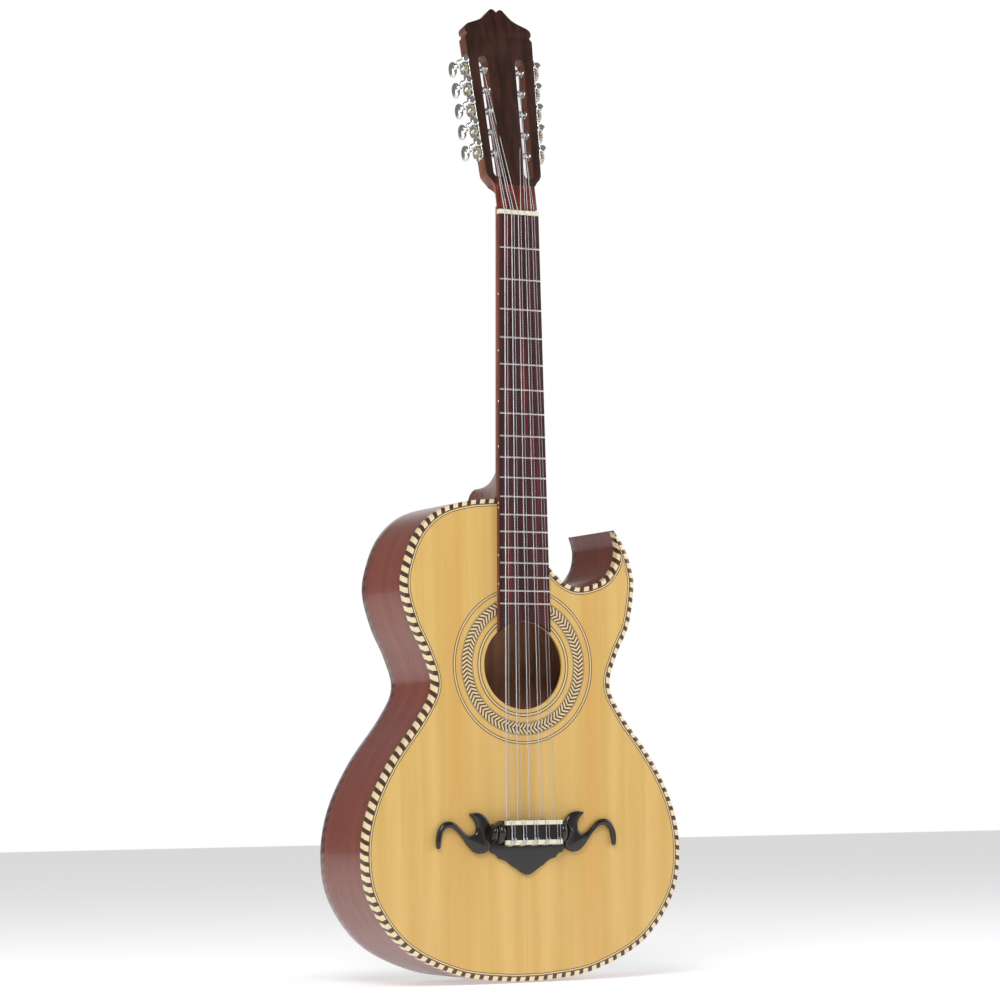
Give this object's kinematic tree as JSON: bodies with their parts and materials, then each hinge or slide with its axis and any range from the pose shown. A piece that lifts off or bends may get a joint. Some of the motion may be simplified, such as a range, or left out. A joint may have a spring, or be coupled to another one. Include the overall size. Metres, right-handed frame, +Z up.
{
  "type": "bajo quinto",
  "caption": "Steel-strung folk guitar with paired strings, one cutaway, a moustache bridge, a slotted headstock and geared tuners.",
  "frame": {"origin": "middle of the small flat at the tail end of the body, half way through its depth there", "axes": "+Z up the neck, +X to the treble (cutaway) side, +Y backwards, so the soundboard faces -Y"},
  "size_m": [0.3786, 0.135, 1.0569],
  "materials": {
    "spruce": "clear gloss lacquer over straight-grained spruce",
    "mahogany": "high gloss red-brown lacquer",
    "neck_wood": "satin red-brown lacquer",
    "rosewood": "oiled dark rosewood with fine open grain",
    "ebony": "polished black",
    "bone": "polished bone, off-white",
    "mosaic": "cream and dark wood inlay under lacquer",
    "inner_wood": "bare sanded cedar",
    "chrome": "nickel-plated tuners",
    "string_steel": "wound and plain string wire"
  },
  "bodies": {
    "root": {"soundboard": "spruce", "rosette": "mosaic", "back": "mahogany", "side_bass": "mahogany", "side_treble": "mahogany", "side_cutaway": "mahogany", "tail_graft": "mahogany", "binding_top": "mosaic", "binding_back": "mosaic", "lining_top": "inner_wood", "lining_back": "inner_wood", "neck_block": "inner_wood", "tail_block": "inner_wood", "brace_top_upper": "inner_wood", "brace_top_lower": "inner_wood", "brace_fan_bass": "inner_wood", "brace_fan_treble": "inner_wood", "brace_back_lower": "inner_wood", "brace_back_middle": "inner_wood", "brace_back_upper": "inner_wood", "neck": "neck_wood", "heel_cap": "ebony", "headstock_veneer": "rosewood", "fingerboard": "rosewood", "nut": "bone", "bridge": "ebony", "saddle": "bone", "tie_bone": "bone", "string_1": "string_steel", "string_2": "string_steel", "string_3": "string_steel", "string_4": "string_steel", "string_5": "string_steel", "string_6": "string_steel", "string_7": "string_steel", "string_8": "string_steel", "string_9": "string_steel", "string_10": "string_steel", "tuner_plate_bass": "chrome", "tuner_plate_treble": "chrome"},
    "key_bass_1": {"key_bass_1": "chrome"},
    "roller_bass_1": {"roller_bass_1": "chrome"},
    "key_bass_2": {"key_bass_2": "chrome"},
    "roller_bass_2": {"roller_bass_2": "chrome"},
    "key_bass_3": {"key_bass_3": "chrome"},
    "roller_bass_3": {"roller_bass_3": "chrome"},
    "key_bass_4": {"key_bass_4": "chrome"},
    "roller_bass_4": {"roller_bass_4": "chrome"},
    "key_bass_5": {"key_bass_5": "chrome"},
    "roller_bass_5": {"roller_bass_5": "chrome"},
    "key_treble_1": {"key_treble_1": "chrome"},
    "roller_treble_1": {"roller_treble_1": "chrome"},
    "key_treble_2": {"key_treble_2": "chrome"},
    "roller_treble_2": {"roller_treble_2": "chrome"},
    "key_treble_3": {"key_treble_3": "chrome"},
    "roller_treble_3": {"roller_treble_3": "chrome"},
    "key_treble_4": {"key_treble_4": "chrome"},
    "roller_treble_4": {"roller_treble_4": "chrome"},
    "key_treble_5": {"key_treble_5": "chrome"},
    "roller_treble_5": {"roller_treble_5": "chrome"}
  },
  "joints": [
    {"name": "key_bass_1_turn", "type": "hinge", "parent": "root", "child": "key_bass_1", "pos_m": [-0.03951, -0.03709, 0.89609], "axis": [0, 0.9816, -0.1908], "continuous": true},
    {"name": "roller_bass_1_turn", "type": "hinge", "parent": "root", "child": "roller_bass_1", "pos_m": [-0.03448, -0.04173, 0.88796], "axis": [-0.9988, -0.0091, -0.0471], "continuous": true},
    {"name": "key_bass_2_turn", "type": "hinge", "parent": "root", "child": "key_bass_2", "pos_m": [-0.04069, -0.03242, 0.92011], "axis": [0, 0.9816, -0.1908], "continuous": true},
    {"name": "roller_bass_2_turn", "type": "hinge", "parent": "root", "child": "roller_bass_2", "pos_m": [-0.03565, -0.03706, 0.91198], "axis": [-0.9988, -0.0091, -0.0471], "continuous": true},
    {"name": "key_bass_3_turn", "type": "hinge", "parent": "root", "child": "key_bass_3", "pos_m": [-0.04186, -0.02775, 0.94414], "axis": [0, 0.9816, -0.1908], "continuous": true},
    {"name": "roller_bass_3_turn", "type": "hinge", "parent": "root", "child": "roller_bass_3", "pos_m": [-0.03683, -0.03239, 0.936], "axis": [-0.9988, -0.0091, -0.0471], "continuous": true},
    {"name": "key_bass_4_turn", "type": "hinge", "parent": "root", "child": "key_bass_4", "pos_m": [-0.04303, -0.02308, 0.96816], "axis": [0, 0.9816, -0.1908], "continuous": true},
    {"name": "roller_bass_4_turn", "type": "hinge", "parent": "root", "child": "roller_bass_4", "pos_m": [-0.038, -0.02772, 0.96003], "axis": [-0.9988, -0.0091, -0.0471], "continuous": true},
    {"name": "key_bass_5_turn", "type": "hinge", "parent": "root", "child": "key_bass_5", "pos_m": [-0.04421, -0.01841, 0.99218], "axis": [0, 0.9816, -0.1908], "continuous": true},
    {"name": "roller_bass_5_turn", "type": "hinge", "parent": "root", "child": "roller_bass_5", "pos_m": [-0.03918, -0.02305, 0.98405], "axis": [-0.9988, -0.0091, -0.0471], "continuous": true},
    {"name": "key_treble_1_turn", "type": "hinge", "parent": "root", "child": "key_treble_1", "pos_m": [0.03951, -0.03709, 0.89609], "axis": [0, 0.9816, -0.1908], "continuous": true},
    {"name": "roller_treble_1_turn", "type": "hinge", "parent": "root", "child": "roller_treble_1", "pos_m": [0.03448, -0.04173, 0.88796], "axis": [0.9988, -0.0091, -0.0471], "continuous": true},
    {"name": "key_treble_2_turn", "type": "hinge", "parent": "root", "child": "key_treble_2", "pos_m": [0.04069, -0.03242, 0.92011], "axis": [0, 0.9816, -0.1908], "continuous": true},
    {"name": "roller_treble_2_turn", "type": "hinge", "parent": "root", "child": "roller_treble_2", "pos_m": [0.03565, -0.03706, 0.91198], "axis": [0.9988, -0.0091, -0.0471], "continuous": true},
    {"name": "key_treble_3_turn", "type": "hinge", "parent": "root", "child": "key_treble_3", "pos_m": [0.04186, -0.02775, 0.94414], "axis": [0, 0.9816, -0.1908], "continuous": true},
    {"name": "roller_treble_3_turn", "type": "hinge", "parent": "root", "child": "roller_treble_3", "pos_m": [0.03683, -0.03239, 0.936], "axis": [0.9988, -0.0091, -0.0471], "continuous": true},
    {"name": "key_treble_4_turn", "type": "hinge", "parent": "root", "child": "key_treble_4", "pos_m": [0.04303, -0.02308, 0.96816], "axis": [0, 0.9816, -0.1908], "continuous": true},
    {"name": "roller_treble_4_turn", "type": "hinge", "parent": "root", "child": "roller_treble_4", "pos_m": [0.038, -0.02772, 0.96003], "axis": [0.9988, -0.0091, -0.0471], "continuous": true},
    {"name": "key_treble_5_turn", "type": "hinge", "parent": "root", "child": "key_treble_5", "pos_m": [0.04421, -0.01841, 0.99218], "axis": [0, 0.9816, -0.1908], "continuous": true},
    {"name": "roller_treble_5_turn", "type": "hinge", "parent": "root", "child": "roller_treble_5", "pos_m": [0.03918, -0.02305, 0.98405], "axis": [0.9988, -0.0091, -0.0471], "continuous": true}
  ],
  "couplings": [
    {"joint": "roller_bass_1_turn", "follows": "key_bass_1_turn", "ratio": -0.071429},
    {"joint": "roller_bass_2_turn", "follows": "key_bass_2_turn", "ratio": -0.071429},
    {"joint": "roller_bass_3_turn", "follows": "key_bass_3_turn", "ratio": -0.071429},
    {"joint": "roller_bass_4_turn", "follows": "key_bass_4_turn", "ratio": -0.071429},
    {"joint": "roller_bass_5_turn", "follows": "key_bass_5_turn", "ratio": -0.071429},
    {"joint": "roller_treble_1_turn", "follows": "key_treble_1_turn", "ratio": 0.071429},
    {"joint": "roller_treble_2_turn", "follows": "key_treble_2_turn", "ratio": 0.071429},
    {"joint": "roller_treble_3_turn", "follows": "key_treble_3_turn", "ratio": 0.071429},
    {"joint": "roller_treble_4_turn", "follows": "key_treble_4_turn", "ratio": 0.071429},
    {"joint": "roller_treble_5_turn", "follows": "key_treble_5_turn", "ratio": 0.071429}
  ]
}
